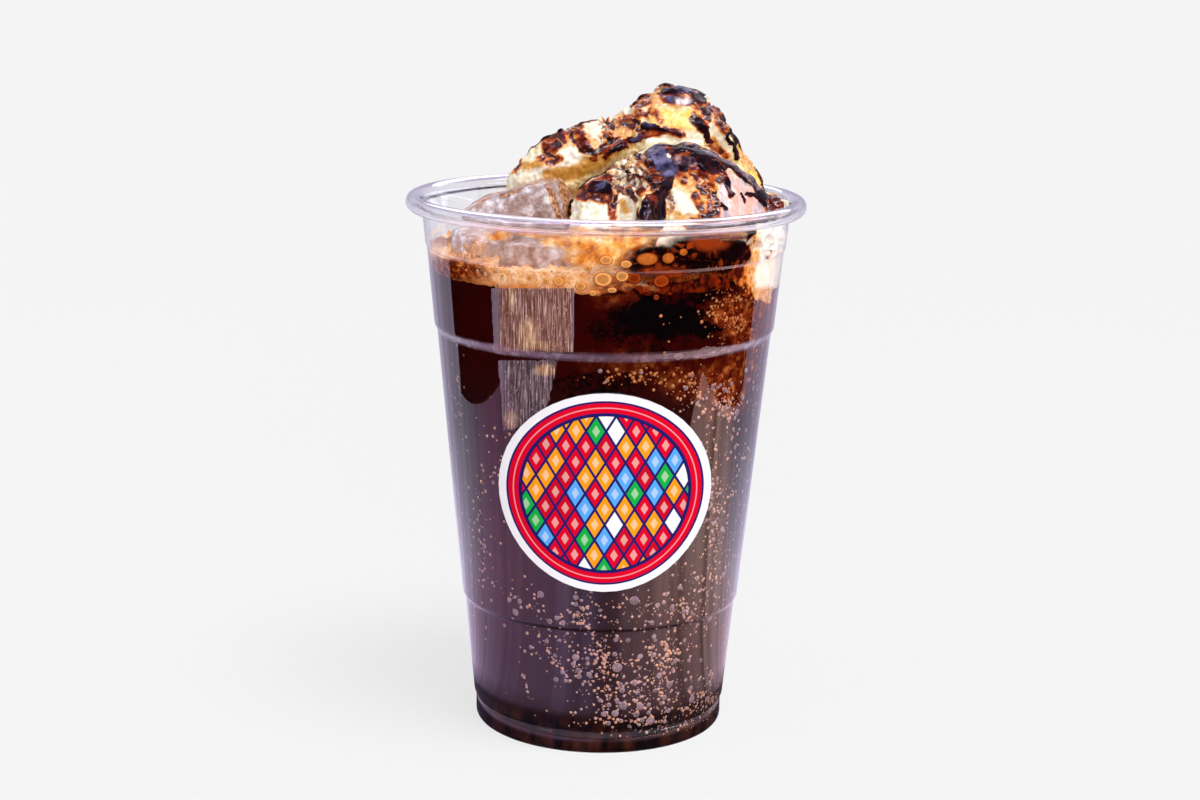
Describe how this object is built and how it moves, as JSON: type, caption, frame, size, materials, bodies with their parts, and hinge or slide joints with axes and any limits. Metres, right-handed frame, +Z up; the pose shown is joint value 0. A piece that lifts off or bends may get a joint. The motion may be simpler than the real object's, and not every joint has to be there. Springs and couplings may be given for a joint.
{
  "type": "ice cream float",
  "caption": "Ice cream float in a tapered clear disposable cup: dark fizzy drink under foam, with ice and syrup-covered vanilla scoops standing above the rolled rim.",
  "frame": {"origin": "centre of the cup's base, on the plane that it stands on", "axes": "+Z up along the cup's axis, -Y towards the front where the sticker is, +X to the right of a viewer at the front"},
  "size_m": [0.095, 0.095, 0.1547],
  "materials": {
    "cup_plastic": "clear gloss",
    "label_paper": "satin print",
    "drink": "gloss",
    "foam": "matt bubbles",
    "ice": "clear, wet",
    "ice_cream": "satin, wet in places",
    "syrup": "gloss",
    "bubbles": "gloss"
  },
  "bodies": {
    "root": {"cup": "cup_plastic", "label": "label_paper", "drink": "drink", "foam": "foam", "ice_tall": "ice", "ice_front": "ice", "ice_left": "ice", "ice_cream_front": "ice_cream", "ice_cream_back": "ice_cream"}
  },
  "joints": []
}
